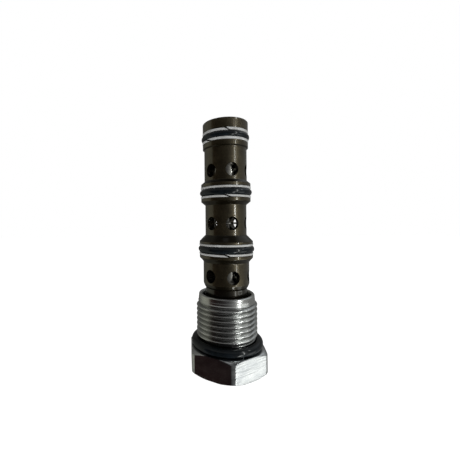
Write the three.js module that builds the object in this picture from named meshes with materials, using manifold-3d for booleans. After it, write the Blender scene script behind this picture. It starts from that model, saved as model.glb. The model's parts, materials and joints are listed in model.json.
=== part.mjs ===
// Screw-in hydraulic cartridge valve: a spool-type flow divider and combiner.
// Millimetres, +Z from the hexagon's bottom face up to the nose.
import * as THREE from 'three';
import { mergeVertices } from 'three/addons/utils/BufferGeometryUtils.js';
import Module from 'manifold-3d';

const wasm = await Module();
wasm.setup();

// ---- Driving dimensions ------------------------------------------------------------------
// Facets round each turned piece. All pieces share them, so fits keep their clearance.
const CAGE_FACETS = 30;
const ADAPTER_FACETS = 24;
const FIT = 0.05;

// Adapter: hexagon, relief with its O-ring, thread, collar, socket for the sleeve's foot.
const HEX_ACROSS_FLATS = 32;
const HEX_TURNED_R = 17.98;
const HEX_FACE_R = 16.3;
const HEX_HEIGHT = 9.75;
const CHAMFER_SLOPE = Math.tan(Math.PI / 6);
const THREAD_PITCH = 25.4 / 12;
const THREAD_MAJOR_R = 13.49;
const THREAD_MINOR_R = 12.2;
const THREAD_START_Z = 13.07;
const THREAD_END_Z = 29.5;
const COLLAR_R = 12.45;
const RIM_Z = 32.75;
const MOUTH_R = 11.05;
const SOCKET_R = 10.75;
const SOCKET_FLOOR_Z = 19.7;
const ADAPTER_O_RING_SECTION = 3.53;

// Sleeve: three rows of ports between three stepped seal lands.
const BORE_R = 6.5;
const FOOT_R = 10.4;
const FOOT_Z = 20;
const FOOT_TOP_Z = 23.5;
const NECK_R = 9.15;
const UPPER_NECK_R = 9.43;
const BARREL_R = 10.2;
const NOSE_Z = 108.95;
const MIDDLE_Z = 64.1;
const ROW_SPACING = 23;
const PORT_R = 2.78;
const PORTS_PER_ROW = 6;
const PORT_AZIMUTH = 10;

// Seal groups: an O-ring between two scarf-cut backup rings in one groove.
const SEAL_STAND = 0.55;
const BACKUP_STAND = 0.12;
const SEALS = [
  { name: 'nose', z: 102.1, landR: 10.07, section: 2.62, backup: 1.05, scarfs: [-3, -54] },
  { name: 'middle', z: 77.73, landR: 11, section: 3, backup: 0.9, scarfs: [152, -4] },
  { name: 'hex', z: 52.73, landR: 11.88, section: 3, backup: 0.9, scarfs: [172, -6] },
];

// Retaining wire that holds the sleeve's foot in the adapter.
const WIRE_R = 0.6;
const WIRE_RING_R = 10.45;
const WIRE_Z = 24.45;
const WIRE_GROOVE_R = 11.3;

// Nose closure: a sealed plug behind a snap ring.
const PLUG_BORE_R = 7.2;
const PLUG_Z = 103.45;
const PLUG_TOP_Z = 106.9;
const PLUG_SEAL_SECTION = 1.2;
const SNAP_R = 0.45;
const SNAP_Z = 107.55;
const SNAP_GROOVE_R = 7.85;

// Spools: distances are from the middle ports, and both spools share them.
const SPOOL_R = BORE_R - FIT;
const SPOOL_INNER = 4.9;
const SPOOL_NECK_R = 4.8;
const LAND_INNER = 12.3;
const SPOOL_OUTER = 33.6;
const SPRING_POCKET_R = 5;
const SPRING_POCKET = 29.6;
const SPOOL_BORE_R = 3.2;
const ORIFICE_STEP = 12.95;
const ORIFICE_R = 0.9;
const ORIFICE_THICKNESS = 1.6;
const METERING_R = 2.1;
const METERING = ROW_SPACING + 0.7;
const METERING_AZIMUTH = PORT_AZIMUTH + 24.4;
const SPRING_SEAT = PLUG_Z - MIDDLE_Z;

// Hook that links the spools.
const STEM_R = 1.6;
const FLANGE_R = 5;
const FLANGE_HALF = 0.4;
const HEAD_R = 3;
const HEAD_Z = 7;
const HEAD_HEIGHT = 1.8;
const LIP_TOP = 6.9;
const LIP_HALF = 1.9;
const CHAMBER_HALF = 3.3;
const CHAMBER_TOP = 12;

// ---- Materials ---------------------------------------------------------------------------
const metal = (color, roughness) => new THREE.MeshStandardMaterial({ color, roughness, metalness: 1 });
const polymer = (color, roughness) => new THREE.MeshStandardMaterial({ color, roughness, metalness: 0 });
const ZINC = metal(0xc9ccca, 0.25);
const OXIDE = metal(0x4a4436, 0.42);
const GROUND_STEEL = metal(0xb4b2aa, 0.22);
const SPRING_STEEL = metal(0x8d8f90, 0.35);
const NITRILE = polymer(0x15181c, 0.4);
const PTFE = polymer(0xc9cac7, 0.5);

// ---- Solids ------------------------------------------------------------------------------
function solid(geometry) {
  const bare = geometry.clone();
  bare.deleteAttribute('normal');
  bare.deleteAttribute('uv');
  const merged = mergeVertices(bare, 1e-4);
  const vertices = merged.attributes.position.array;
  const triangles = [];
  const corner = (index) => new THREE.Vector3().fromArray(vertices, index * 3);
  let volume = 0;
  for (let i = 0; i < merged.index.count; i += 3) {
    const [a, b, c] = merged.index.array.slice(i, i + 3);
    if (a === b || b === c || c === a) continue;
    triangles.push(a, b, c);
    volume += corner(a).dot(corner(b).cross(corner(c)));
  }
  if (volume < 0) triangles.reverse();
  return new wasm.Manifold(new wasm.Mesh({
    numProp: 3,
    vertProperties: new Float32Array(vertices),
    triVerts: new Uint32Array(triangles),
  }));
}

function toMesh(name, body, material) {
  const { vertProperties, triVerts } = body.getMesh();
  const geometry = new THREE.BufferGeometry();
  geometry.setAttribute('position', new THREE.BufferAttribute(vertProperties, 3));
  geometry.setIndex(new THREE.BufferAttribute(triVerts, 1));
  geometry.computeVertexNormals();
  const mesh = new THREE.Mesh(geometry, material);
  mesh.name = name;
  return mesh;
}

// Turned solid from a closed outline of [radius, height] points.
function turned(outline, facets = CAGE_FACETS, turn = 0) {
  const points = [...outline, outline[0]].map(([r, z]) => new THREE.Vector2(r, z));
  const lathe = new THREE.LatheGeometry(points, facets, turn);
  return solid(lathe.rotateX(Math.PI / 2));
}

function disc(radius, low, high, facets = CAGE_FACETS) {
  return turned([[0, low], [radius, low], [radius, high], [0, high]], facets);
}

function ring(inner, outer, low, high, facets = CAGE_FACETS) {
  return turned([[inner, low], [outer, low], [outer, high], [inner, high]], facets);
}

function box(width, depth, low, high, y) {
  const block = new THREE.BoxGeometry(width, depth, high - low);
  return solid(block.translate(0, y, (low + high) / 2));
}

function torus(centreR, sectionR, z, sides = 8, facets = CAGE_FACETS) {
  const outline = [];
  for (let i = 0; i < sides; i += 1) {
    const angle = (2 * Math.PI * i) / sides;
    outline.push([centreR + sectionR * Math.cos(angle), z + sectionR * Math.sin(angle)]);
  }
  return turned(outline, facets);
}

// Round section with flats top and bottom, for wire.
function wireShape(radius, sides) {
  const shape = new THREE.Shape();
  for (let i = 0; i < sides; i += 1) {
    const angle = (2 * Math.PI * (i + 0.5)) / sides;
    const [x, y] = [radius * Math.cos(angle), radius * Math.sin(angle)];
    if (i === 0) shape.moveTo(x, y);
    else shape.lineTo(x, y);
  }
  shape.closePath();
  return shape;
}

class Helix extends THREE.Curve {
  constructor(radius, low, rise, turns, start = 0) {
    super();
    Object.assign(this, { radius, low, rise, turns, start });
  }

  getPoint(t, target = new THREE.Vector3()) {
    const angle = this.start + 2 * Math.PI * this.turns * t;
    const [x, y] = [this.radius * Math.cos(angle), this.radius * Math.sin(angle)];
    return target.set(x, y, this.low + this.rise * t);
  }
}

function wire(curve, radius, sides, steps) {
  return solid(new THREE.ExtrudeGeometry(wireShape(radius, sides), { steps, extrudePath: curve }));
}

// Radial drillings round the Z axis; azimuth 0 is -Y and grows towards +X.
function drillings(radius, reach, z, azimuth, count, sides = 14) {
  const holes = [];
  for (let i = 0; i < count; i += 1) {
    const drill = new THREE.CylinderGeometry(radius, radius, reach, sides);
    drill.translate(0, -reach / 2, 0);
    drill.rotateZ(THREE.MathUtils.degToRad(azimuth + (360 / count) * i));
    holes.push(solid(drill.translate(0, 0, z)));
  }
  return holes;
}

const cut = (body, tools) => tools.reduce((rest, tool) => rest.subtract(tool), body);

// ---- Adapter -----------------------------------------------------------------------------
function hexHead() {
  const prism = new THREE.CylinderGeometry(
    HEX_ACROSS_FLATS / Math.sqrt(3), HEX_ACROSS_FLATS / Math.sqrt(3), HEX_HEIGHT, 6);
  prism.rotateX(Math.PI / 2).translate(0, 0, HEX_HEIGHT / 2);
  const fall = (HEX_TURNED_R - HEX_FACE_R) * CHAMFER_SLOPE;
  const facets = 48;
  const envelope = turned([
    [0, 0], [HEX_FACE_R, 0], [HEX_TURNED_R, fall],
    [HEX_TURNED_R, HEX_HEIGHT - fall], [HEX_FACE_R, HEX_HEIGHT], [0, HEX_HEIGHT],
  ], facets, Math.PI / facets);
  return solid(prism).intersect(envelope);
}

// Helical ridge of a 60 degree thread, fading into the core at both ends.
function threadRidge() {
  const turns = (THREAD_END_Z - THREAD_START_Z) / THREAD_PITCH;
  const steps = Math.round(turns * ADAPTER_FACETS);
  const fade = ADAPTER_FACETS * 0.5;
  const rootR = THREAD_MINOR_R - 0.4;
  const crestHalf = THREAD_PITCH / 16;
  const positions = [];
  const index = [];
  for (let i = 0; i <= steps; i += 1) {
    const angle = (2 * Math.PI * i) / ADAPTER_FACETS - Math.PI / 2;
    const z = THREAD_START_Z + (THREAD_PITCH * i) / ADAPTER_FACETS;
    const grown = Math.min(1, i / fade, (steps - i) / fade);
    const crestR = rootR + 0.2 + (THREAD_MAJOR_R - rootR - 0.2) * grown;
    const rootHalf = crestHalf + (crestR - rootR) * CHAMFER_SLOPE;
    const section = [[rootR, -rootHalf], [crestR, -crestHalf], [crestR, crestHalf], [rootR, rootHalf]];
    for (const [r, dz] of section) {
      positions.push(r * Math.cos(angle), r * Math.sin(angle), z + dz);
    }
    if (i === 0) continue;
    const [a, b] = [4 * (i - 1), 4 * i];
    for (let k = 0; k < 4; k += 1) {
      const next = (k + 1) % 4;
      index.push(a + k, b + k, b + next, a + k, b + next, a + next);
    }
  }
  const last = 4 * steps;
  index.push(0, 1, 2, 0, 2, 3, last, last + 2, last + 1, last, last + 3, last + 2);
  const ridge = new THREE.BufferGeometry();
  ridge.setAttribute('position', new THREE.Float32BufferAttribute(positions, 3));
  ridge.setIndex(index);
  return solid(ridge);
}

function adapterCore() {
  const groove = WIRE_R + 0.1;
  const bossTop = MIDDLE_Z - SPRING_SEAT;
  return turned([
    [0, HEX_HEIGHT - 1], [THREAD_MINOR_R, HEX_HEIGHT - 1], [THREAD_MINOR_R, THREAD_END_Z - 0.3],
    [COLLAR_R, THREAD_END_Z + 0.2], [COLLAR_R - 0.15, RIM_Z - 0.3], [COLLAR_R - 0.45, RIM_Z],
    [MOUTH_R + 0.25, RIM_Z], [MOUTH_R, RIM_Z - 0.4], [SOCKET_R, RIM_Z - 2.5],
    [SOCKET_R, WIRE_Z + groove], [WIRE_GROOVE_R, WIRE_Z + groove],
    [WIRE_GROOVE_R, WIRE_Z - groove], [SOCKET_R, WIRE_Z - groove],
    [SOCKET_R, SOCKET_FLOOR_Z], [5.6, SOCKET_FLOOR_Z], [5.6, bossTop], [0, bossTop],
  ], ADAPTER_FACETS);
}

function buildAdapter() {
  const group = new THREE.Group();
  group.add(toMesh('hex_adapter', hexHead().add(adapterCore()).add(threadRidge()), ZINC));
  const section = ADAPTER_O_RING_SECTION / 2;
  const seal = torus(THREAD_MINOR_R + FIT + section, section, HEX_HEIGHT + FIT + section, 8, ADAPTER_FACETS);
  group.add(toMesh('adapter_o_ring', seal, NITRILE));
  const opening = 0.06;
  const wireArc = new Helix(WIRE_RING_R, WIRE_Z, 0, 1 - opening, Math.PI * (0.5 + opening));
  group.add(toMesh('sleeve_retaining_ring', wire(wireArc, WIRE_R, 6, 34), SPRING_STEEL));
  return group;
}

// ---- Sleeve and its seals ----------------------------------------------------------------
function grooveOutline({ z, landR, section, backup }) {
  const half = section / 2 + backup + 2 * FIT;
  const floorR = landR + SEAL_STAND - section;
  return [[landR, z - half], [floorR, z - half], [floorR, z + half], [landR, z + half]];
}

function sleeveOutline() {
  const [nose, middle, hex] = SEALS;
  return [
    [BORE_R, FOOT_Z], [FOOT_R - 0.4, FOOT_Z], [FOOT_R, FOOT_Z + 0.4], [FOOT_R, FOOT_TOP_Z],
    [NECK_R, FOOT_TOP_Z], [NECK_R, 35.4], [9.7, 36.1], [BARREL_R, 37.5], [BARREL_R, 46.95],
    [10.75, 47.7], [hex.landR, 48.9], ...grooveOutline(hex), [hex.landR, 56.15],
    [NECK_R, 58.9], [NECK_R, 72.2], [middle.landR, 73.75], ...grooveOutline(middle),
    [middle.landR, 81.6], [UPPER_NECK_R, 82.9], [UPPER_NECK_R, 97.1], [nose.landR, 97.5],
    ...grooveOutline(nose), [nose.landR, NOSE_Z - 0.35], [nose.landR - 0.35, NOSE_Z],
    [PLUG_BORE_R + 0.2, NOSE_Z], [PLUG_BORE_R, NOSE_Z - 0.3],
    [PLUG_BORE_R, SNAP_Z + 0.5], [SNAP_GROOVE_R, SNAP_Z + 0.5],
    [SNAP_GROOVE_R, SNAP_Z - 0.5], [PLUG_BORE_R, SNAP_Z - 0.5],
    [PLUG_BORE_R, PLUG_Z - FIT], [BORE_R, PLUG_Z - FIT],
  ];
}

function buildSleeve() {
  const ports = [-1, 0, 1].flatMap((row) => drillings(
    PORT_R, 13, MIDDLE_Z + row * ROW_SPACING, PORT_AZIMUTH, PORTS_PER_ROW));
  return toMesh('sleeve', cut(turned(sleeveOutline()), ports), OXIDE);
}

// Split backup ring: the scarf is a thin slanted cut through one side.
function backupRing(side, { name, landR, section, backup, z, scarfs }) {
  const offset = section / 2 + FIT + backup / 2;
  const height = side === 'upper' ? z + offset : z - offset;
  const azimuth = side === 'upper' ? scarfs[0] : scarfs[1];
  const floorR = landR + SEAL_STAND - section;
  const band = ring(floorR + FIT, landR + BACKUP_STAND, height - backup / 2, height + backup / 2);
  const saw = new THREE.BoxGeometry(9, 6, 0.3);
  saw.rotateY(THREE.MathUtils.degToRad(28)).translate(0, -landR, 0);
  saw.rotateZ(THREE.MathUtils.degToRad(azimuth)).translate(0, 0, height);
  return toMesh(`${name}_backup_${side}`, band.subtract(solid(saw)), PTFE);
}

function buildSealGroup(seal) {
  const group = new THREE.Group();
  const centreR = seal.landR + SEAL_STAND - seal.section / 2 + FIT;
  group.add(toMesh(`${seal.name}_o_ring`, torus(centreR, seal.section / 2, seal.z), NITRILE));
  group.add(backupRing('upper', seal), backupRing('lower', seal));
  return group;
}

function buildNoseClosure() {
  const group = new THREE.Group();
  const plugR = PLUG_BORE_R - FIT;
  const grooveFloor = plugR - PLUG_SEAL_SECTION;
  const sealZ = (PLUG_Z + PLUG_TOP_Z) / 2;
  const half = PLUG_SEAL_SECTION / 2 + 0.15;
  const plug = turned([
    [0, PLUG_Z], [plugR, PLUG_Z], [plugR, sealZ - half], [grooveFloor, sealZ - half],
    [grooveFloor, sealZ + half], [plugR, sealZ + half], [plugR, PLUG_TOP_Z],
    [1.6, PLUG_TOP_Z], [1.6, PLUG_TOP_Z - 2.2], [0, PLUG_TOP_Z - 2.2],
  ]);
  group.add(toMesh('nose_plug', plug, OXIDE));
  const section = PLUG_SEAL_SECTION / 2 - 0.02;
  const seal = torus(grooveFloor + section + 0.02, section, sealZ, 6);
  group.add(toMesh('nose_plug_o_ring', seal, NITRILE));
  const arc = new Helix(PLUG_BORE_R + 0.1, SNAP_Z, 0, 0.88, Math.PI * 0.62);
  group.add(toMesh('nose_snap_ring', wire(arc, SNAP_R, 6, 26), SPRING_STEEL));
  return group;
}

// ---- Spools ------------------------------------------------------------------------------
// side is +1 for the nose spool and -1 for the hexagon's; heights are from the middle ports.
const fromMiddle = (side, heights) => heights.map(([r, s]) => [r, MIDDLE_Z + side * s]);

function spoolBlank(side, innerR) {
  return turned(fromMiddle(side, [
    [innerR, SPOOL_INNER], [SPOOL_NECK_R, SPOOL_INNER], [SPOOL_NECK_R, LAND_INNER],
    [SPOOL_R, LAND_INNER], [SPOOL_R, SPOOL_OUTER], [SPRING_POCKET_R, SPOOL_OUTER],
    [SPRING_POCKET_R, SPRING_POCKET], [SPOOL_BORE_R, SPRING_POCKET],
    [SPOOL_BORE_R, ORIFICE_STEP], [2.2, ORIFICE_STEP], [2.2, 8], [innerR, 8],
  ]));
}

const meteringHoles = (side) => drillings(
  METERING_R, 9, MIDDLE_Z + side * METERING, METERING_AZIMUTH, PORTS_PER_ROW, 12);

// Axial slice of the space between two heights above the middle.
const slot = (half, low, high) => [
  disc(half, MIDDLE_Z + low, MIDDLE_Z + high),
  box(2 * half, 8, MIDDLE_Z + low, MIDDLE_Z + high, 4),
];

function buildNoseSpool() {
  const hookSlots = [
    ...slot(LIP_HALF, SPOOL_INNER - 1, LIP_TOP + 0.5),
    ...slot(CHAMBER_HALF, LIP_TOP, CHAMBER_TOP),
  ];
  const body = cut(spoolBlank(1, 0), [...hookSlots, ...meteringHoles(1)]);
  return toMesh('nose_spool', body, GROUND_STEEL);
}

function buildHexSpool() {
  const hook = turned([
    [0, MIDDLE_Z - 6], [STEM_R, MIDDLE_Z - 6], [STEM_R, MIDDLE_Z - FLANGE_HALF],
    [FLANGE_R, MIDDLE_Z - FLANGE_HALF], [FLANGE_R, MIDDLE_Z + FLANGE_HALF],
    [STEM_R, MIDDLE_Z + FLANGE_HALF], [STEM_R, MIDDLE_Z + HEAD_Z], [HEAD_R, MIDDLE_Z + HEAD_Z],
    [HEAD_R, MIDDLE_Z + HEAD_Z + HEAD_HEIGHT], [0, MIDDLE_Z + HEAD_Z + HEAD_HEIGHT],
  ], 20);
  const feeds = drillings(1.8, 8, MIDDLE_Z - 10, 90, 2, 12);
  const body = cut(spoolBlank(-1, 0), [...feeds, ...meteringHoles(-1)]);
  return toMesh('hex_spool', body.add(hook), GROUND_STEEL);
}

function orifice(name, side) {
  const near = MIDDLE_Z + side * (ORIFICE_STEP + FIT);
  const far = near + side * ORIFICE_THICKNESS;
  const plate = ring(ORIFICE_R, SPOOL_BORE_R - FIT, Math.min(near, far), Math.max(near, far), 20);
  return toMesh(name, plate, GROUND_STEEL);
}

// ---- Springs -----------------------------------------------------------------------------
function spring(name, radius, wireR, low, high, turns) {
  const helix = new Helix(radius, low + wireR, high - low - 2 * wireR, turns);
  return toMesh(name, wire(helix, wireR, 5, Math.round(turns * 12)), SPRING_STEEL);
}

function buildSprings() {
  const group = new THREE.Group();
  const seat = SPRING_SEAT - FIT;
  const pocket = SPRING_POCKET + FIT;
  group.add(spring('nose_spring', 4.3, 0.4, MIDDLE_Z + pocket, MIDDLE_Z + seat, 5));
  group.add(spring('hex_spring', 4.3, 0.4, MIDDLE_Z - seat, MIDDLE_Z - pocket, 5));
  const head = MIDDLE_Z + HEAD_Z + HEAD_HEIGHT + FIT;
  group.add(spring('centre_spring', 2.6, 0.22, head, MIDDLE_Z + CHAMBER_TOP - FIT, 3));
  return group;
}

// ---- Assembly ----------------------------------------------------------------------------
const valve = new THREE.Group();
valve.add(buildAdapter());
valve.add(buildSleeve(), ...SEALS.map(buildSealGroup), buildNoseClosure());
valve.add(buildNoseSpool(), buildHexSpool(), orifice('nose_orifice', 1), orifice('hex_orifice', -1));
valve.add(buildSprings());

export default valve;
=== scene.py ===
"""Looks of a screw-in hydraulic cartridge valve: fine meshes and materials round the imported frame."""
import json
import math

import bmesh
import bpy
import numpy as np
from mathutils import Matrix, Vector


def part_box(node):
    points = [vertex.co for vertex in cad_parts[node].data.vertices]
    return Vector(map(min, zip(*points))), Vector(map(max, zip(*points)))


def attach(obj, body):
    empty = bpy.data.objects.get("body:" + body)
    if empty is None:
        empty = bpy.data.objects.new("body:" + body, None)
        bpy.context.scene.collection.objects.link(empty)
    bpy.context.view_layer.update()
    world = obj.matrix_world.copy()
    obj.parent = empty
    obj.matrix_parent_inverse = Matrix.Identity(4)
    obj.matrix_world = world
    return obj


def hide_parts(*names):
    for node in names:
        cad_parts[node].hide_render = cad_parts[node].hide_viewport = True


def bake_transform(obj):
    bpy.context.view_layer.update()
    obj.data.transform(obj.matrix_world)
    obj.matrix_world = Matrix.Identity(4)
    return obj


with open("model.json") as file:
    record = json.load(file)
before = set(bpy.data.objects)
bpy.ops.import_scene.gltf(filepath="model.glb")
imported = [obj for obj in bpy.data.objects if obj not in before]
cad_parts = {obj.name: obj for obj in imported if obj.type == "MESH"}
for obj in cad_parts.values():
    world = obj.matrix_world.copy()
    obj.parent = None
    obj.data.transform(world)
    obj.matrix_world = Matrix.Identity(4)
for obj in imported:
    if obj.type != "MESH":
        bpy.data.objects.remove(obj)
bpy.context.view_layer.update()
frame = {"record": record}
MM = 0.001


def node_span(node):
    """Lowest and highest z of a CAD node, in millimetres."""
    low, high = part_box(node)
    return low[2] / MM, high[2] / MM


def node_height(node):
    """Middle height of a CAD node, in millimetres."""
    return sum(node_span(node)) / 2


def node_reach(node):
    """Half the width of a CAD node along X, in millimetres."""
    low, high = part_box(node)
    return (high[0] - low[0]) / 2 / MM


# ---- Measures, in millimetres and degrees ------------------------------------------------
FIT = 0.05  # clearance between parts that fit together
O_RING_STAND = 0.02  # how far an O-ring reaches past its CAD ring's half width along X

ACROSS_FLATS = 2 * node_reach("hex_adapter")
HEX_TURNED_R = 17.94
HEX_FACE_R = 16.3
HEX_HEIGHT = 9.75
CHAMFER_SLOPE = math.tan(math.radians(30))
THREAD_PITCH = 25.4 / 12
THREAD_MAJOR_R = 13.49
THREAD_MINOR_R = 12.2
THREAD_START_Z = 13.07
THREAD_END_Z = 29.5
COLLAR_R = 12.45
COLLAR_STEP_Z = 30.8
RIM_Z = node_span("hex_adapter")[1]
MOUTH_R = 11.05
SOCKET_R = 10.75
SOCKET_FLOOR_Z = 19.7
BOSS_BORE_R = 5.6
WIRE_R = 0.6
WIRE_RING_R = 10.45
WIRE_Z = node_height("sleeve_retaining_ring")

MIDDLE_Z = 64.1
ROW_SPACING = 23
PORT_R = 2.78
PORT_AZIMUTH = 10
PORTS_PER_ROW = 6
BORE_R = 6.5
FOOT_R = 10.4
NECK_R = 9.15
UPPER_NECK_R = 9.43
BARREL_R = 10.2
FOOT_Z, FOOT_TOP_Z = 20, 23.5
CONE_Z, BARREL_Z, BARREL_TOP_Z = 35.4, 37.45, 46.95
HEX_LAND_Z, HEX_LAND_TOP_Z = 48.9, 56.15
NECK_Z, NECK_TOP_Z = 58.9, 72.2
MIDDLE_LAND_Z, MIDDLE_LAND_TOP_Z = 73.75, 81.6
UPPER_NECK_Z, UPPER_NECK_TOP_Z = 82.9, 97.1
NOSE_LAND_Z = 97.5
NOSE_Z = node_span("sleeve")[1]
SEAL_STAND = 0.55
BACKUP_STAND = 0.12
SEAL_LANDS = {"nose": 10.07, "middle": 11, "hex": 11.88}
SEAL_SCARFS = {"nose": (-3, -54), "middle": (152, -4), "hex": (172, -6)}
SCARF_SLOPES = {"upper": 32, "lower": 21}

PLUG_BORE_R = 7.2
PLUG_SEAL_GROOVE_R = 5.95
PLUG_SEAL_WIRE_R = 0.57
PLUG_SOCKET_R = 1.6
SNAP_R = 0.45
SNAP_RING_R = 7.3
SNAP_GROOVE_R = 7.85

# Spools and hook: heights are distances from the middle ports.
SPOOL_R = BORE_R - FIT
SPOOL_NECK_R = 4.8
SPOOL_INNER = 4.9
LAND_INNER = 12.3
SPOOL_OUTER = 33.6
SPRING_POCKET_R = 5.0
SPRING_POCKET = 29.6
SPOOL_BORE_R = 3.2
ORIFICE_STEP = 12.95
ORIFICE_R = 0.9
FEED_R = 2.2
FEED_INNER = 8.0
CROSS_HOLE_R = 1.8
CROSS_HOLE = 10
METERING_R = 2.1
METERING = ROW_SPACING + 0.7
METERING_AZIMUTH = PORT_AZIMUTH + 24.4
STEM_R = 1.6
STEM_ROOT = -6
FLANGE_R = 5.0
FLANGE_HALF = 0.4
HEAD_R = 3.0
HEAD_LOW = 7.0
HEAD_TOP = 8.8
LIP_SLOT = (1.9, 3.9, 7.4)  # half width, lowest, highest
HEAD_CHAMBER = (3.3, 6.9, 12.0)


# ---- Mesh tools --------------------------------------------------------------------------
UP = np.array([0.0, 0.0, 1.0])


def around(angle):
    """Outward direction at an azimuth in radians; 0 is -Y and it grows towards +X."""
    return np.array([math.sin(angle), -math.cos(angle), 0])


def link(name, verts, faces):
    """New mesh object from millimetre points."""
    mesh = bpy.data.meshes.new(name)
    mesh.from_pydata([Vector(v) * MM for v in verts], [], faces)
    mesh.validate()
    obj = bpy.data.objects.new(name, mesh)
    bpy.context.scene.collection.objects.link(obj)
    return obj


def outward(obj):
    """Turns a mesh inside out if its faces point in."""
    work = bmesh.new()
    work.from_mesh(obj.data)
    bmesh.ops.remove_doubles(work, verts=work.verts, dist=1e-8)
    if work.calc_volume(signed=True) < 0:
        bmesh.ops.reverse_faces(work, faces=work.faces)
    work.to_mesh(obj.data)
    work.free()
    return obj


def tube_faces(sides, stations):
    """Walls and end caps of a tube whose stations have the same number of points."""
    faces = []
    for a in range(0, (stations - 1) * sides, sides):
        b = a + sides
        faces += [[a + k, a + (k + 1) % sides, b + (k + 1) % sides, b + k] for k in range(sides)]
    last = (stations - 1) * sides
    return faces + [list(range(sides))[::-1], list(range(last, last + sides))]


def circle(radius, sides):
    """Points of a circle, counted from +u."""
    angles = [2 * math.pi * k / sides for k in range(sides)]
    return [(radius * math.cos(a), radius * math.sin(a)) for a in angles]


def rounded(outline, steps=5):
    """Closed outline of (r, z) with every corner that states a third value turned to that radius."""
    points = []
    count = len(outline)
    for i, corner in enumerate(outline):
        here = np.array(corner[:2], float)
        radius = corner[2] if len(corner) > 2 else 0
        if not radius:
            points.append(here)
            continue
        before = np.array(outline[i - 1][:2], float) - here
        after = np.array(outline[(i + 1) % count][:2], float) - here
        length_a, length_b = np.linalg.norm(before), np.linalg.norm(after)
        before, after = before / length_a, after / length_b
        half = math.acos(np.clip(before @ after, -1, 1)) / 2
        if half > math.radians(88):
            points.append(here)
            continue
        setback = min(radius / math.tan(half), 0.45 * length_a, 0.45 * length_b)
        radius = setback * math.tan(half)
        centre = here + (before + after) / np.linalg.norm(before + after) * radius / math.sin(half)
        start, end = here + before * setback - centre, here + after * setback - centre
        sweep = math.atan2(start[0] * end[1] - start[1] * end[0], start @ end)
        for k in range(steps + 1):
            a = sweep * k / steps
            turn = np.array([[math.cos(a), -math.sin(a)], [math.sin(a), math.cos(a)]])
            points.append(centre + turn @ start)
    return points


def divided(outline, longest):
    """Outline with its long straight runs split, so that drilled faces stay small."""
    points = []
    for i, here in enumerate(outline):
        there = outline[(i + 1) % len(outline)]
        pieces = max(1, math.ceil(math.dist(here, there) / longest))
        points += [here + (there - here) * k / pieces for k in range(pieces)]
    return points


def turned(name, outline, columns=160, longest=None):
    """Turned solid from a closed (r, z[, corner radius]) outline."""
    points = rounded(outline)
    if longest:
        points = divided(points, longest)
    verts, rings = [], []
    for r, z in points:
        if r < 1e-6:
            rings.append([len(verts)] * columns)
            verts.append((0, 0, z))
            continue
        rings.append(list(range(len(verts), len(verts) + columns)))
        verts += [around(2 * math.pi * k / columns) * r + UP * z for k in range(columns)]
    faces = []
    for low, high in zip(rings, rings[1:] + rings[:1]):
        for k in range(columns):
            n = (k + 1) % columns
            face = list(dict.fromkeys([low[k], low[n], high[n], high[k]]))
            if len(face) > 2:
                faces.append(face)
    return link(name, verts, faces)


def coil(name, radius, wire_r, low, high, turns, start=0, dead=0.0):
    """Wire along a helix; dead is the share of a turn at each end that lies flat."""
    steps = max(24, round(turns * 48))
    section = circle(wire_r, 14)
    flat = dead / turns
    verts = []
    for i in range(steps + 1):
        t = i / steps
        out = around(start + 2 * math.pi * turns * t)
        rise = min(max((t - flat) / (1 - 2 * flat), 0), 1)
        rise = 0.9 * rise + 0.1 * (3 * rise ** 2 - 2 * rise ** 3)
        centre = out * radius + UP * (low + (high - low) * rise)
        verts += [centre + out * u + UP * v for u, v in section]
    return link(name, verts, tube_faces(len(section), steps + 1))


def o_ring(name, node, wire_r, columns=160):
    """Ring of round section in a CAD ring's place."""
    z = node_height(node)
    centre = node_reach(node) - wire_r + O_RING_STAND
    return turned(name, [(centre + u, z + v) for u, v in circle(wire_r, 28)], columns)


def drill(radius, inner, outer, z, azimuth, flare=0.0, surface=0.0):
    """Radial cutter from one distance to another, opening a little at the surface."""
    out = around(math.radians(azimuth))
    side = np.array([-out[1], out[0], 0])
    sides = 48
    stations = [(inner, radius), (outer, radius)]
    if flare:
        wide = radius + 2 * flare
        stations = [(inner, radius), (surface - 2 * flare, radius), (surface + flare, wide), (outer, wide)]
    verts = [out * d + side * r * math.cos(a) + UP * (z + r * math.sin(a))
             for d, r in stations for a in np.linspace(0, 2 * math.pi, sides, endpoint=False)]
    return outward(link("drill", verts, tube_faces(sides, len(stations))))


def slot(half, depth, low, high):
    """Cutters for a slot that is round about the axis and runs out through the side at +Y."""
    round_end = turned("slot", [(0, low), (half, low), (half, high), (0, high)], 64)
    plan = ((-half, 0), (half, 0), (half, depth), (-half, depth))
    open_end = link("block", [(x, y, z) for z in (low, high) for x, y in plan], tube_faces(4, 2))
    return [outward(round_end), outward(open_end)]


def combine(obj, others, operation):
    """Joins or cuts obj with other closed meshes, which are used up."""
    for other in others:
        step = obj.modifiers.new("step", "BOOLEAN")
        step.object, step.operation, step.solver = other, operation, "MANIFOLD"
    bpy.context.view_layer.update()
    evaluated = obj.evaluated_get(bpy.context.evaluated_depsgraph_get())
    mesh = bpy.data.meshes.new_from_object(evaluated)
    obj.modifiers.clear()
    obj.data = mesh
    for other in others:
        bpy.data.objects.remove(other)


def finish_piece(obj, body, node, material, angle=38):
    """Shades a piece, gives it its material, hangs it on its body and hides the CAD part it stands for."""
    outward(obj)
    obj.data.shade_smooth()
    obj.data.set_sharp_from_angle(angle=math.radians(angle))
    obj.data.materials.clear()
    obj.data.materials.append(material)
    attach(obj, body)
    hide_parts(node)


# ---- Materials ---------------------------------------------------------------------------
def feed(tree, socket, value):
    """Links a node's output to a socket, or sets the socket to a constant."""
    if isinstance(value, bpy.types.NodeSocket):
        tree.links.new(value, socket)
    else:
        socket.default_value = value


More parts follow.
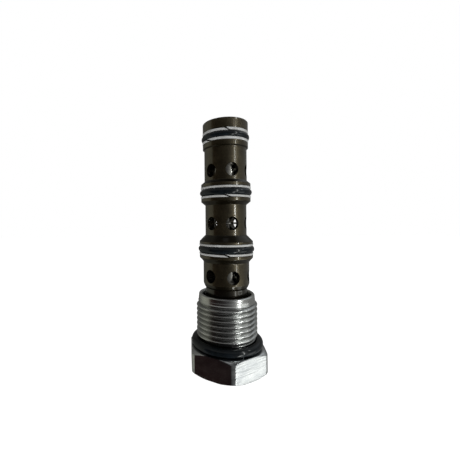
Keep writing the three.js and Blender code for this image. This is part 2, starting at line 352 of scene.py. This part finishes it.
def add_node(tree, kind, inputs=None, **settings):
    """New shader node with its settings made and its inputs fed."""
    made = tree.nodes.new("ShaderNode" + kind)
    for key, value in settings.items():
        setattr(made, key, value)
    for key, value in (inputs or {}).items():
        feed(tree, made.inputs[key], value)
    return made


def mix_colours(tree, share, a, b):
    """Colour from a at share 0 to b at share 1; each is an output or an (r, g, b)."""
    a, b = [c if isinstance(c, bpy.types.NodeSocket) else (*c, 1) for c in (a, b)]
    return add_node(tree, "Mix", {0: share, 6: a, 7: b}, data_type="RGBA").outputs[2]


class Shader:
    """Small helper round one material's node tree."""

    def __init__(self, name):
        self.material = bpy.data.materials.new(name)
        self.material.use_nodes = True
        self.tree = self.material.node_tree
        self.bsdf = self.tree.nodes["Principled BSDF"]
        self.place = self.node("TexCoord").outputs["Object"]

    def node(self, kind, inputs=None, **settings):
        return add_node(self.tree, kind, inputs, **settings)

    def noise(self, scale, detail=3, offset=(0, 0, 0), rotation=(0, 0, 0), roughness=0.55):
        """Noise with its own scale along each axis, in features per metre."""
        place = self.node("Mapping", {"Vector": self.place, "Location": offset, "Rotation": rotation,
                                      "Scale": scale})
        return self.node("TexNoise", {"Vector": place.outputs[0], "Scale": 1.0, "Detail": detail,
                                      "Roughness": roughness}).outputs["Fac"]

    def between(self, value, low, high, to_low=0.0, to_high=1.0):
        return self.node("MapRange", {"Value": value, "From Min": low, "From Max": high,
                                      "To Min": to_low, "To Max": to_high}).outputs[0]

    def math(self, operation, a, b):
        return self.node("Math", {0: a, 1: b}, operation=operation).outputs[0]

    def mix(self, share, a, b):
        return mix_colours(self.tree, share, a, b)

    def bump(self, height, distance, normal=None):
        inputs = {"Height": height, "Strength": 1.0, "Distance": distance}
        if normal is not None:
            inputs["Normal"] = normal
        return self.node("Bump", inputs).outputs[0]

    def set(self, **values):
        """Feeds the surface's sockets, named with _ for each space, and gives the material."""
        for key, value in values.items():
            feed(self.tree, self.bsdf.inputs[key.replace("_", " ")], value)
        return self.material


def turned_metal(name, light, dark, roughness, groove):
    """Fine rings round the axis, cloudy colour and small marks; the colour returned is still to be set."""
    s = Shader(name)
    rings = s.noise((60, 60, 9000), detail=2)
    cloud = s.noise((210, 210, 210), detail=4, offset=(3, 1, 2))
    marks = s.noise((2800, 2800, 3500), detail=2, offset=(7, 5, 1))
    tone = s.between(s.math("ADD", cloud, s.math("MULTIPLY", rings, 0.35)), 0.45, 0.9)
    gloss = s.between(s.math("ADD", rings, s.math("MULTIPLY", cloud, 0.6)), 0.5, 1.1, *roughness)
    normal = s.bump(rings, groove)
    normal = s.bump(marks, groove * 0.6, normal)
    s.set(Metallic=1.0, Roughness=gloss, Normal=normal)
    return s, s.mix(tone, dark, light)


def clean_metal(name, light, dark, roughness, groove):
    """Turned metal without dirt or coating."""
    s, colour = turned_metal(name, light, dark, roughness, groove)
    return s.set(Base_Color=colour)


def oxide_steel():
    """Oiled dark oxide: duller on the sloping shoulders, with painted shade darkening the shoulders and the
    foot.
    """
    dark = (0.056, 0.045, 0.024)
    s, colour = turned_metal("oxide_steel", (0.104, 0.084, 0.048), dark, (0.26, 0.42), 0.000004)
    facing = s.node("SeparateXYZ", {0: s.node("NewGeometry").outputs["Normal"]})
    slope = s.math("ABSOLUTE", facing.outputs[2], 0.0)
    shoulder = s.math("MULTIPLY", s.between(slope, 0.2, 0.4), s.math("LESS_THAN", slope, 0.98))
    height = s.node("SeparateXYZ", {0: s.place}).outputs[2]
    foot = s.math("LESS_THAN", height, (BARREL_Z - 0.05) * MM)
    # Painted shade: the base colour is darkened on the sloping shoulders and on the foot below the barrel.
    painted_shade = s.math("MAXIMUM", shoulder, foot)
    colour = s.mix(painted_shade, colour, [0.45 * c for c in dark])
    oil = s.between(shoulder, 0.0, 1.0, 1.0, 0.35)
    return s.set(Base_Color=colour, Metallic=0.9, Coat_Weight=oil, Coat_Roughness=0.045, Coat_IOR=1.62)


def turned_zinc():
    """Bright zinc plate, with painted shade darkening the roots of the thread."""
    dark = (0.60, 0.61, 0.60)
    s, colour = turned_metal("zinc_turned", (0.82, 0.83, 0.82), dark, (0.17, 0.29), 0.000004)
    x, y, z = s.node("SeparateXYZ", {0: s.place}).outputs
    radius = s.math("SQRT", s.math("ADD", s.math("MULTIPLY", x, x), s.math("MULTIPLY", y, y)), 0.0)
    depth = s.between(radius, (THREAD_MAJOR_R - 0.15) * MM, (THREAD_MINOR_R + 0.15) * MM)
    below_end = s.between(z, (THREAD_END_Z + 0.1) * MM, (THREAD_END_Z - 0.1) * MM)
    # Painted shade: the base colour is darkened in the thread's roots, below the thread's end.
    colour = s.mix(s.math("MULTIPLY", depth, below_end), colour, [0.6 * c for c in dark])
    return s.set(Base_Color=colour)


def brushed_zinc():
    """Zinc plate on the hexagon: drawn lines along the flats, with slanting scratches."""
    s = Shader("zinc_brushed")
    grain = s.noise((120, 120, 7000))
    cloud = s.noise((180, 180, 260), detail=4, offset=(4, 2, 9))
    scratch = s.noise((90, 90, 3600), detail=1, rotation=(0.0, 0.42, 0.3), roughness=0.5)
    scratch = s.between(scratch, 0.56, 0.68)
    mottle = s.noise((3200, 3200, 4200), detail=1, offset=(1, 6, 3))
    tone = s.between(s.math("ADD", cloud, s.math("MULTIPLY", mottle, 0.7)), 0.6, 1.1)
    colour = s.mix(tone, (0.54, 0.56, 0.58), (0.88, 0.89, 0.89))
    colour = s.mix(s.math("MULTIPLY", scratch, 0.6), colour, (0.32, 0.34, 0.36))
    gloss = s.between(s.math("ADD", grain, cloud), 0.7, 1.35, 0.12, 0.26)
    normal = s.bump(grain, 0.000004)
    normal = s.bump(scratch, -0.00001, normal)
    return s.set(Base_Color=colour, Metallic=1.0, Roughness=gloss, Normal=normal)


def nitrile_rubber():
    """Black rubber with an oily film and faint flow marks."""
    s = Shader("nitrile_rubber")
    cloud = s.noise((420, 420, 420))
    fine = s.noise((3600, 3600, 3600), detail=2, offset=(2, 8, 1))
    colour = s.mix(s.between(cloud, 0.35, 0.7), (0.003, 0.0045, 0.0055), (0.006, 0.009, 0.012))
    gloss = s.between(cloud, 0.3, 0.7, 0.24, 0.36)
    normal = s.bump(fine, 0.000003)
    normal = s.bump(cloud, 0.00002, normal)
    return s.set(Base_Color=colour, Roughness=gloss, Normal=normal, Specular_IOR_Level=0.06,
                 Coat_Weight=0.65, Coat_Roughness=0.04)


def ptfe_tape():
    """Grey-white PTFE with soft handling marks."""
    s = Shader("ptfe")
    cloud = s.noise((260, 260, 500), detail=4)
    lines = s.noise((90, 90, 5000), detail=2, offset=(5, 3, 2))
    colour = s.mix(s.between(cloud, 0.35, 0.7), (0.40, 0.40, 0.39), (0.56, 0.57, 0.57))
    gloss = s.between(cloud, 0.3, 0.7, 0.32, 0.5)
    normal = s.bump(lines, 0.000006)
    normal = s.bump(cloud, 0.00002, normal)
    return s.set(Base_Color=colour, Roughness=gloss, Normal=normal)


OXIDE = oxide_steel()
ZINC = turned_zinc()
GROUND = clean_metal("ground_steel", (0.62, 0.61, 0.57), (0.42, 0.41, 0.38), (0.14, 0.3), 0.000002)
WIRE_STEEL = clean_metal("drawn_wire", (0.34, 0.34, 0.35), (0.2, 0.2, 0.21), (0.25, 0.42), 0.000003)
ZINC_FLAT = brushed_zinc()
NITRILE = nitrile_rubber()
PTFE = ptfe_tape()


# ---- Adapter -----------------------------------------------------------------------------
def hexagon_columns():
    """Azimuths round the hexagon, closer together at the edges of its turned corners."""
    corner_edge = 30 - math.degrees(math.acos(ACROSS_FLATS / 2 / HEX_TURNED_R))
    near = [corner_edge + d for d in (-0.7, -0.35, -0.15, 0, 0.15, 0.35, 0.7)]
    spread = list(np.arange(5.0, 30.1, 1.25)) + [0.0, 1.0] + near
    sector = sorted(set(spread + [-v for v in spread if 0 < v < 29.9]))
    return [math.radians(60 * k + v) for k in range(6) for v in sector]


def hexagon_radius(angle):
    """Distance from the axis to the side, with the corners turned down and eased."""
    sixth = math.radians(60)
    off = (angle + sixth / 2) % sixth - sixth / 2
    flat = ACROSS_FLATS / 2 / math.cos(sixth / 2 - abs(off))
    ease = 0.035
    return HEX_TURNED_R - ease * math.log(1 + math.exp((HEX_TURNED_R - flat) / ease))


def hexagon_rows():
    """Rings of the hexagon from its end face up, each giving (r, z) from the side's distance."""
    edge = 0.12
    chamfer_r = HEX_FACE_R + edge

    def fall(r):
        return max(0.0, r - HEX_FACE_R) * CHAMFER_SLOPE

    def flank(share):
        return lambda r: (r, fall(r) + edge + (HEX_HEIGHT - 2 * fall(r) - 2 * edge) * share)

    def mirrored(place):
        return lambda r: (place(r)[0], HEX_HEIGHT - place(r)[1])

    eased = [
        lambda r: (min(r, HEX_FACE_R) - edge, 0.0),
        lambda r: (min(r, chamfer_r) - 0.03, fall(chamfer_r) * (r > HEX_FACE_R)),
        lambda r: (r - edge * 0.8, fall(r - edge * 0.8) + 0.02),
        lambda r: (r - edge * 0.2, fall(r) + edge * 0.3),
        lambda r: (r, fall(r) + edge),
    ]
    end_face = [lambda r: (4.0, 0.0), lambda r: (12.0, 0.0)]
    flanks = [flank(share) for share in (0.25, 0.5, 0.75)]
    return end_face + eased + flanks + [mirrored(place) for place in eased[::-1]]


def adapter_outline():
    """Outline above the hexagon: relief, thread core, collar and rim, then the socket and its bore."""
    bead_r = COLLAR_R + 0.25
    step_r = COLLAR_R + 0.05
    wire_low, wire_high = WIRE_Z - 0.7, WIRE_Z + 0.7
    wire_groove_r = SOCKET_R + 0.5
    boss_top = 2 * MIDDLE_Z - node_span("nose_plug")[0]
    return rounded([
        (14.0, HEX_HEIGHT), (THREAD_MINOR_R, HEX_HEIGHT, 0.4), (THREAD_MINOR_R, THREAD_END_Z - 0.6, 0.1),
        (bead_r, THREAD_END_Z - 0.2, 0.1), (bead_r, THREAD_END_Z + 0.1, 0.15),
        (step_r, THREAD_END_Z + 0.4, 0.1), (step_r, COLLAR_STEP_Z, 0.05),
        (COLLAR_R, COLLAR_STEP_Z + 0.08, 0.05), (COLLAR_R - 0.12, RIM_Z - 0.35, 0.25),
        (COLLAR_R - 0.5, RIM_Z, 0.2), (MOUTH_R + 0.25, RIM_Z, 0.15), (MOUTH_R, RIM_Z - 0.4, 0.3),
        (SOCKET_R, RIM_Z - 2.5, 0.3), (SOCKET_R, wire_high, 0.1), (wire_groove_r, wire_high),
        (wire_groove_r, wire_low), (SOCKET_R, wire_low, 0.1), (SOCKET_R, SOCKET_FLOOR_Z, 0.3),
        (BOSS_BORE_R, SOCKET_FLOOR_Z, 0.2), (BOSS_BORE_R, boss_top, 0.2), (0, boss_top),
    ])[:-1]


def adapter_mesh():
    """Hexagon, relief, thread core, collar and socket as one grid of columns and rings."""
    columns = hexagon_columns()
    sides = [(around(a), hexagon_radius(a)) for a in columns]
    rings = [[place(reach) for _, reach in sides] for place in hexagon_rows()]
    rings += [[point] * len(sides) for point in adapter_outline()]
    verts = [out * r + UP * z for ring in rings for (out, _), (r, z) in zip(sides, ring)]
    return link("adapter_body", verts, tube_faces(len(sides), len(rings)))


def thread_section(crest_r):
    """Half of a 60 degree ridge from its narrow root to its rounded crest, as (r, half width)."""
    crest_round = 0.16 * THREAD_PITCH
    centre = crest_r - crest_round
    root, fillet, sunk = THREAD_MINOR_R, 0.1, 0.4
    spacing = 0.004  # keeps the points in order where the ridge runs out

    def flank(r):
        start = centre + crest_round / 2
        return crest_round * math.cos(math.radians(30)) + (start - r) * CHAMFER_SLOPE

    points = [(root - sunk, flank(root) + fillet), (root + 0.3 * fillet, flank(root) + fillet),
              (root + fillet, flank(root + fillet))]
    points += [(centre + crest_round * math.sin(math.radians(a)), crest_round * math.cos(math.radians(a)))
               for a in range(30, 90, 10)]
    return [(min(r, crest_r - spacing * (len(points) - k)), dz) for k, (r, dz) in enumerate(points)]


def thread_ridge():
    """Right-hand thread that runs out on the relief below and on a 45 degree chamfer above."""
    per_turn = 120
    steps = round((THREAD_END_Z - THREAD_START_Z) / THREAD_PITCH * per_turn)
    lead_in = 1.3
    verts = []
    for i in range(steps + 1):
        out = around(2 * math.pi * i / per_turn)
        z = THREAD_START_Z + THREAD_PITCH * i / per_turn
        crest_r = min(THREAD_MAJOR_R, COLLAR_R + THREAD_END_Z - z,
                      THREAD_MINOR_R + lead_in * (z - THREAD_START_Z))
        half = thread_section(crest_r)
        section = [(r, -dz) for r, dz in half] + [(r, dz) for r, dz in half[::-1]]
        verts += [out * r + UP * (z + dz) for r, dz in section]
    return outward(link("thread", verts, tube_faces(len(section), steps + 1)))


def build_adapter():
    body = outward(adapter_mesh())
    combine(body, [thread_ridge()], "UNION")
    finish_piece(body, "adapter", "hex_adapter", ZINC, angle=32)
    body.data.materials.append(ZINC_FLAT)
    hexagon_top = (HEX_HEIGHT + 0.001) * MM
    for face in body.data.polygons:
        face.material_index = int(face.center.z < hexagon_top)
    low, high = node_span("adapter_o_ring")
    seal = o_ring("adapter_seal", "adapter_o_ring", (high - low) / 2, columns=200)
    finish_piece(seal, "adapter", "adapter_o_ring", NITRILE)
    ring = coil("sleeve_wire_ring", WIRE_RING_R, WIRE_R, WIRE_Z, WIRE_Z, 0.94, start=math.pi * 1.06)
    finish_piece(ring, "adapter", "sleeve_retaining_ring", WIRE_STEEL)


# ---- Sleeve and seals --------------------------------------------------------------------
def seal_section(group):
    """Height of a group's O-ring, which is the diameter of its section."""
    low, high = node_span(group + "_o_ring")
    return high - low


def groove_floor(group):
    """Radius of the bottom of a seal groove."""
    return SEAL_LANDS[group] + SEAL_STAND - seal_section(group)


def groove_corners(group):
    """Corners of a seal groove, upwards."""
    land, floor = SEAL_LANDS[group], groove_floor(group)
    low = node_span(group + "_backup_lower")[0] - FIT
    high = node_span(group + "_backup_upper")[1] + FIT
    return [(land, low, 0.12), (floor, low, 0.1), (floor, high, 0.1), (land, high, 0.12)]


def build_sleeve():
    """Ported sleeve, outlined from the bore's foot up the outside and down the plug's seat."""
    hex_r, middle_r, nose_r = SEAL_LANDS["hex"], SEAL_LANDS["middle"], SEAL_LANDS["nose"]
    plug_seat = node_span("nose_plug")[0] - FIT
    snap = node_height("nose_snap_ring")
    snap_low, snap_high = snap - 0.5, snap + 0.5
    outline = [
        (BORE_R, FOOT_Z, 0.2), (FOOT_R, FOOT_Z, 0.4), (FOOT_R, FOOT_TOP_Z, 0.2), (NECK_R, FOOT_TOP_Z, 0.3),
        (NECK_R, CONE_Z, 0.15), (NECK_R + 0.55, CONE_Z + 0.7, 0.3), (BARREL_R, BARREL_Z, 0.2),
        (BARREL_R, BARREL_TOP_Z, 0.6), (BARREL_R + 0.55, BARREL_TOP_Z + 0.75, 0.8),
        (hex_r, HEX_LAND_Z, 0.5), *groove_corners("hex"), (hex_r, HEX_LAND_TOP_Z, 0.5),
        (NECK_R, NECK_Z, 0.5), (NECK_R, NECK_TOP_Z, 0.4), (middle_r, MIDDLE_LAND_Z, 0.4),
        *groove_corners("middle"), (middle_r, MIDDLE_LAND_TOP_Z, 0.3), (UPPER_NECK_R, UPPER_NECK_Z, 0.3),
        (UPPER_NECK_R, UPPER_NECK_TOP_Z, 0.2), (nose_r, NOSE_LAND_Z, 0.15), *groove_corners("nose"),
        (nose_r, NOSE_Z - 0.35, 0.15), (nose_r - 0.35, NOSE_Z, 0.15), (PLUG_BORE_R + 0.2, NOSE_Z, 0.1),
        (PLUG_BORE_R, NOSE_Z - 0.3, 0.1), (PLUG_BORE_R, snap_high), (SNAP_GROOVE_R, snap_high),
        (SNAP_GROOVE_R, snap_low), (PLUG_BORE_R, snap_low), (PLUG_BORE_R, plug_seat),
        (BORE_R, plug_seat, 0.1),
    ]
    sleeve = outward(turned("sleeve_body", outline, 180, longest=0.7))
    rows = ((-1, BARREL_R), (0, NECK_R), (1, UPPER_NECK_R))
    ports = [drill(PORT_R, 3, 14, MIDDLE_Z + row * ROW_SPACING, PORT_AZIMUTH + 360 / PORTS_PER_ROW * k,
                   flare=0.12, surface=surface) for row, surface in rows for k in range(PORTS_PER_ROW)]
    combine(sleeve, ports, "DIFFERENCE")
    finish_piece(sleeve, "cage", "sleeve", OXIDE, angle=30)


def backup_ring(name, node, group, azimuth, scarf_slope):
    """Split ring whose slanting ends meet in a scarf, one end riding a little higher."""
    low, high = node_span(node)
    z = (low + high) / 2
    inner = groove_floor(group) + FIT
    outer = SEAL_LANDS[group] + BACKUP_STAND
    half = (high - low) / 2 - 0.01
    section = rounded([(inner, -half, 0.05), (outer, -half, 0.16), (outer, half, 0.16), (inner, half, 0.05)],
                      steps=4)
    steps = 240
    slope = math.tan(math.radians(scarf_slope))
    gap = 0.48 / outer
    ride, settling, waviness = 0.16, 14, 0.015
    verts = []
    for i in range(steps + 1):
        t = i / steps
        lift = ride * (math.exp(-t * settling) - math.exp(-(1 - t) * settling))
        for r, dz in section:
            scarf = -dz / slope / outer
            angle = math.radians(azimuth) + gap + scarf + (2 * math.pi - 2 * gap) * t
            wave = waviness * math.sin(3 * angle + azimuth)
            verts.append(around(angle) * r + UP * (z + dz + wave + lift))
    return link(name, verts, tube_faces(len(section), steps + 1))


def build_seals():
    for group, scarfs in SEAL_SCARFS.items():
        ring = o_ring(f"{group}_seal", f"{group}_o_ring", seal_section(group) / 2)
        finish_piece(ring, "cage", f"{group}_o_ring", NITRILE)
        for (side, slope), azimuth in zip(SCARF_SLOPES.items(), scarfs):
            node = f"{group}_backup_{side}"
            finish_piece(backup_ring(f"{node}_ring", node, group, azimuth, slope), "cage", node, PTFE)


def build_nose_closure():
    low, high = node_span("nose_plug")
    seal = node_height("nose_plug_o_ring")
    seal_low, seal_high = seal - 0.75, seal + 0.75
    plug_r = PLUG_BORE_R - FIT
    plug = turned("plug_body", [
        (0, low), (plug_r, low, 0.2), (plug_r, seal_low, 0.08), (PLUG_SEAL_GROOVE_R, seal_low),
        (PLUG_SEAL_GROOVE_R, seal_high), (plug_r, seal_high, 0.08), (plug_r, high, 0.3),
        (PLUG_SOCKET_R + 0.3, high, 0.1), (PLUG_SOCKET_R, high - 0.3, 0.1),
        (PLUG_SOCKET_R, high - 2.2, 0.2), (0, high - 2.6),
    ], 128)
    finish_piece(plug, "cage", "nose_plug", OXIDE)
    ring = o_ring("plug_seal", "nose_plug_o_ring", PLUG_SEAL_WIRE_R, 128)
    finish_piece(ring, "cage", "nose_plug_o_ring", NITRILE)
    snap_z = node_height("nose_snap_ring")
    snap = coil("snap_ring", SNAP_RING_R, SNAP_R, snap_z, snap_z, 0.88, start=1.12 * math.pi)
    finish_piece(snap, "cage", "nose_snap_ring", WIRE_STEEL)


# ---- Spools and springs ------------------------------------------------------------------
def spool_blank(name, side):
    """Turned half of the hooked pair: side is 1 towards the nose and -1 towards the hexagon."""
    corners = [
        (0, SPOOL_INNER), (SPOOL_NECK_R, SPOOL_INNER, 0.2), (SPOOL_NECK_R, LAND_INNER, 0.3),
        (SPOOL_R, LAND_INNER, 0.12), (SPOOL_R, SPOOL_OUTER, 0.25), (SPRING_POCKET_R, SPOOL_OUTER, 0.15),
        (SPRING_POCKET_R, SPRING_POCKET, 0.3), (SPOOL_BORE_R, SPRING_POCKET, 0.1),
        (SPOOL_BORE_R, ORIFICE_STEP), (FEED_R, ORIFICE_STEP), (FEED_R, FEED_INNER), (0, FEED_INNER),
    ]
    outline = [(r, MIDDLE_Z + side * z, *corner) for r, z, *corner in corners]
    return outward(turned(name, outline, 144, longest=0.9))


def metering_holes(side):
    z = MIDDLE_Z + side * METERING
    return [drill(METERING_R, 2, 9, z, METERING_AZIMUTH + 60 * k, flare=0.08, surface=SPOOL_R)
            for k in range(6)]


def hook():
    """Stem with the thin flange between the spools and the head that the nose spool's lip holds."""
    corners = [
        (0, STEM_ROOT), (STEM_R, STEM_ROOT), (STEM_R, -FLANGE_HALF, 0.3), (FLANGE_R, -FLANGE_HALF, 0.12),
        (FLANGE_R, FLANGE_HALF, 0.12), (STEM_R, FLANGE_HALF, 0.3), (STEM_R, HEAD_LOW, 0.15),
        (HEAD_R, HEAD_LOW, 0.15), (HEAD_R, HEAD_TOP, 0.25), (0, HEAD_TOP),
    ]
    return outward(turned("hook", [(r, MIDDLE_Z + z, *corner) for r, z, *corner in corners], 96))


def build_spools():
    nose = spool_blank("nose_side_spool_body", 1)
    slots = [cutter for half, low, high in (LIP_SLOT, HEAD_CHAMBER)
             for cutter in slot(half, 8, MIDDLE_Z + low, MIDDLE_Z + high)]
    combine(nose, slots + metering_holes(1), "DIFFERENCE")
    finish_piece(nose, "nose_side_spool", "nose_spool", GROUND, angle=30)

    hexagon = spool_blank("hex_side_spool_body", -1)
    feeds = [drill(CROSS_HOLE_R, 0.5, 8, MIDDLE_Z - CROSS_HOLE, a) for a in (90, 270)]
    combine(hexagon, feeds + metering_holes(-1), "DIFFERENCE")
    combine(hexagon, [hook()], "UNION")
    finish_piece(hexagon, "hex_side_spool", "hex_spool", GROUND, angle=30)


def build_orifices():
    """Sharp-edged plates with a bevelled far side."""
    plate_r = SPOOL_BORE_R - 0.08
    for side, node, body in ((1, "nose_orifice", "nose_side_spool"), (-1, "hex_orifice", "hex_side_spool")):
        inner, outer = node_span(node)[::side]
        plate = turned(f"{node}_plate", [
            (ORIFICE_R, inner), (plate_r, inner, 0.1), (plate_r, outer, 0.1), (ORIFICE_R + 0.8, outer),
            (ORIFICE_R, outer - side * 0.8)], 96)
        finish_piece(plate, body, node, GROUND)


def build_springs():
    for node, radius, wire_r, turns, ends in (
            ("hex_spring", 4.3, 0.4, 5.5, ("cage", "hex_side_spool")),
            ("nose_spring", 4.3, 0.4, 5.5, ("hex_side_spool", "cage")),
            ("centre_spring", 2.6, 0.22, 3.5, ("hex_side_spool", "nose_side_spool"))):
        low, high = node_span(node)
        spring = coil(f"{node}_wire", radius, wire_r, low + wire_r, high - wire_r, turns, dead=0.6)
        body = next(b for b, nodes in frame["record"]["behaviour"]["bodies"].items() if node in nodes)
        finish_piece(spring, body, node, WIRE_STEEL)
        spring.parent = None
        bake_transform(spring)


# ---- Stage, light and camera -------------------------------------------------------------
# Colours of the surroundings by azimuth in degrees, level with the valve and above it.
LEVEL_BAND = [
    (-180, (0.12, 0.12, 0.115)), (-148, (0.1, 0.1, 0.09)), (-123, (0.21, 0.215, 0.185)),
    (-106, (0.28, 0.285, 0.24)), (-83, (0.25, 0.25, 0.21)), (-77, (0.024, 0.012, 0.011)),
    (-48, (0.010, 0.0065, 0.0065)), (-18, (0.018, 0.016, 0.016)), (2, (0.04, 0.04, 0.04)),
    (28, (0.17, 0.17, 0.165)), (58, (0.2, 0.2, 0.19)), (94, (0.19, 0.19, 0.18)),
    (130, (0.17, 0.17, 0.165)), (180, (0.12, 0.12, 0.115))]
RAISED_BAND = [
    (-180, (0.09, 0.09, 0.09)), (-150, (0.09, 0.09, 0.085)), (-120, (0.17, 0.17, 0.155)),
    (-80, (0.22, 0.22, 0.205)), (-10, (0.24, 0.24, 0.24)), (40, (0.28, 0.29, 0.29)),
    (80, (0.42, 0.44, 0.45)), (130, (0.4, 0.42, 0.43)), (155, (0.18, 0.18, 0.18)),
    (180, (0.09, 0.09, 0.09))]
CEILING = (0.06, 0.06, 0.06)
OVERHEAD = (0.3, 0.3, 0.3)
# Where one gives way to the next, as the z of the direction looked in.
RAISED_FROM = (0.36, 0.5)
CEILING_FROM = (0.82, 0.92)
OVERHEAD_FROM = (0.985, 0.996)

# Area lights: azimuth in degrees, distance, width, lowest and highest in metres, surface brightness.
LAMPS = {
    "window": (44, 0.5, 0.2, -0.3, 0.3, 0.42),
    "window_core": (44, 0.49, 0.012, -0.055, 0.25, 12),
    "window_foot": (43, 0.49, 0.028, -0.25, -0.055, 3.2),
    "window_centre": (44, 0.48, 0.012, -0.01, 0.11, 18),
    "upper_lamp": (50, 0.5, 0.06, 0.3, 0.56, 6),
    "lower_lamp": (37, 0.5, 0.1, -0.6, -0.26, 7),
    "side_lamp": (77, 0.5, 0.05, 0.36, 0.5, 6),
    "table_glow": (73, 0.55, 0.29, -0.55, -0.11, 1.1),
}
LAMP_COLOUR = (0.975, 1, 0.975)


def build_stage():
    reach = 900  # in millimetres, as in every mesh
    corners = [(-reach, -reach, 0), (reach, -reach, 0), (reach, reach, 0), (-reach, reach, 0)]
    floor = link("floor", corners, [(0, 1, 2, 3)])
    s = Shader("floor_white")
    colour = s.mix(s.noise((40, 40, 40), detail=2), (0.5, 0.5, 0.5), (0.53, 0.53, 0.53))
    floor.data.materials.append(s.set(Base_Color=colour, Roughness=0.8, Emission_Color=(1, 1, 1, 1),
                                      Emission_Strength=1.0))
    floor.visible_glossy = False
    floor.visible_shadow = False


def build_world():
    """Studio surroundings by azimuth, with a dark ceiling; the camera itself sees plain white."""
    world = bpy.data.worlds.new("studio")
    bpy.context.scene.world = world
    world.use_nodes = True
    tree = world.node_tree
    tree.nodes.clear()

    x, y, z = add_node(tree, "SeparateXYZ", {0: add_node(tree, "TexCoord").outputs["Generated"]}).outputs
    towards = add_node(tree, "Math", {0: y, 1: -1}, operation="MULTIPLY").outputs[0]
    azimuth = add_node(tree, "Math", {0: x, 1: towards}, operation="ARCTAN2").outputs[0]
    share = add_node(tree, "MapRange", {0: azimuth, 1: -math.pi, 2: math.pi}).outputs[0]

    def band(stops):
        ramp = add_node(tree, "ValToRGB", {0: share})
        elements = ramp.color_ramp.elements
        while len(elements) < len(stops):
            elements.new(0.5)
        for element, (angle, colour) in zip(elements, stops):
            element.position = (angle + 180) / 360
            element.color = (*colour, 1)
        return ramp.outputs[0]

    def give_way(heights, under, over):
        step = add_node(tree, "MapRange", {0: z, 1: heights[0], 2: heights[1]}).outputs[0]
        return mix_colours(tree, step, under, over)

    studio = give_way(RAISED_FROM, band(LEVEL_BAND), band(RAISED_BAND))
    studio = give_way(CEILING_FROM, studio, CEILING)
    studio = give_way(OVERHEAD_FROM, studio, OVERHEAD)
    lit = add_node(tree, "Background", {0: studio}).outputs[0]
    plain = add_node(tree, "Background", {0: (1, 1, 1, 1)}).outputs[0]
    seen = add_node(tree, "LightPath").outputs["Is Camera Ray"]
    add_node(tree, "OutputWorld", {0: add_node(tree, "MixShader", {0: seen, 1: lit, 2: plain}).outputs[0]})


def softbox(name, azimuth, distance, width, low, high, brightness):
    """Upright area light facing the valve's axis, of a given surface brightness."""
    light = bpy.data.lights.new(name, "AREA")
    light.shape = "RECTANGLE"
    light.size, light.size_y = width, high - low
    light.energy = brightness * math.pi * width * (high - low)
    light.color = LAMP_COLOUR
    obj = bpy.data.objects.new(name, light)
    turn = math.radians(azimuth)
    obj.location = around(turn) * distance + UP * (low + high) / 2
    obj.rotation_euler = (math.radians(90), 0, turn)
    bpy.context.scene.collection.objects.link(obj)


def build_camera():
    camera = bpy.data.cameras.new("camera")
    camera.lens = 21.39
    camera.shift_x, camera.shift_y = 0.1155, -0.021
    camera.clip_start = 0.005
    obj = bpy.data.objects.new("camera", camera)
    obj.location = (-0.01786, -0.125, 0.0656)
    obj.rotation_euler = (math.radians(90), math.radians(0.49), math.radians(2))
    bpy.context.scene.collection.objects.link(obj)
    bpy.context.scene.camera = obj


build_camera()
build_adapter()
build_sleeve()
build_seals()
build_nose_closure()
build_spools()
build_orifices()
build_springs()
build_stage()
build_world()
for lamp, measures in LAMPS.items():
    softbox(lamp, *measures)
bpy.context.scene.view_settings.view_transform = "Standard"
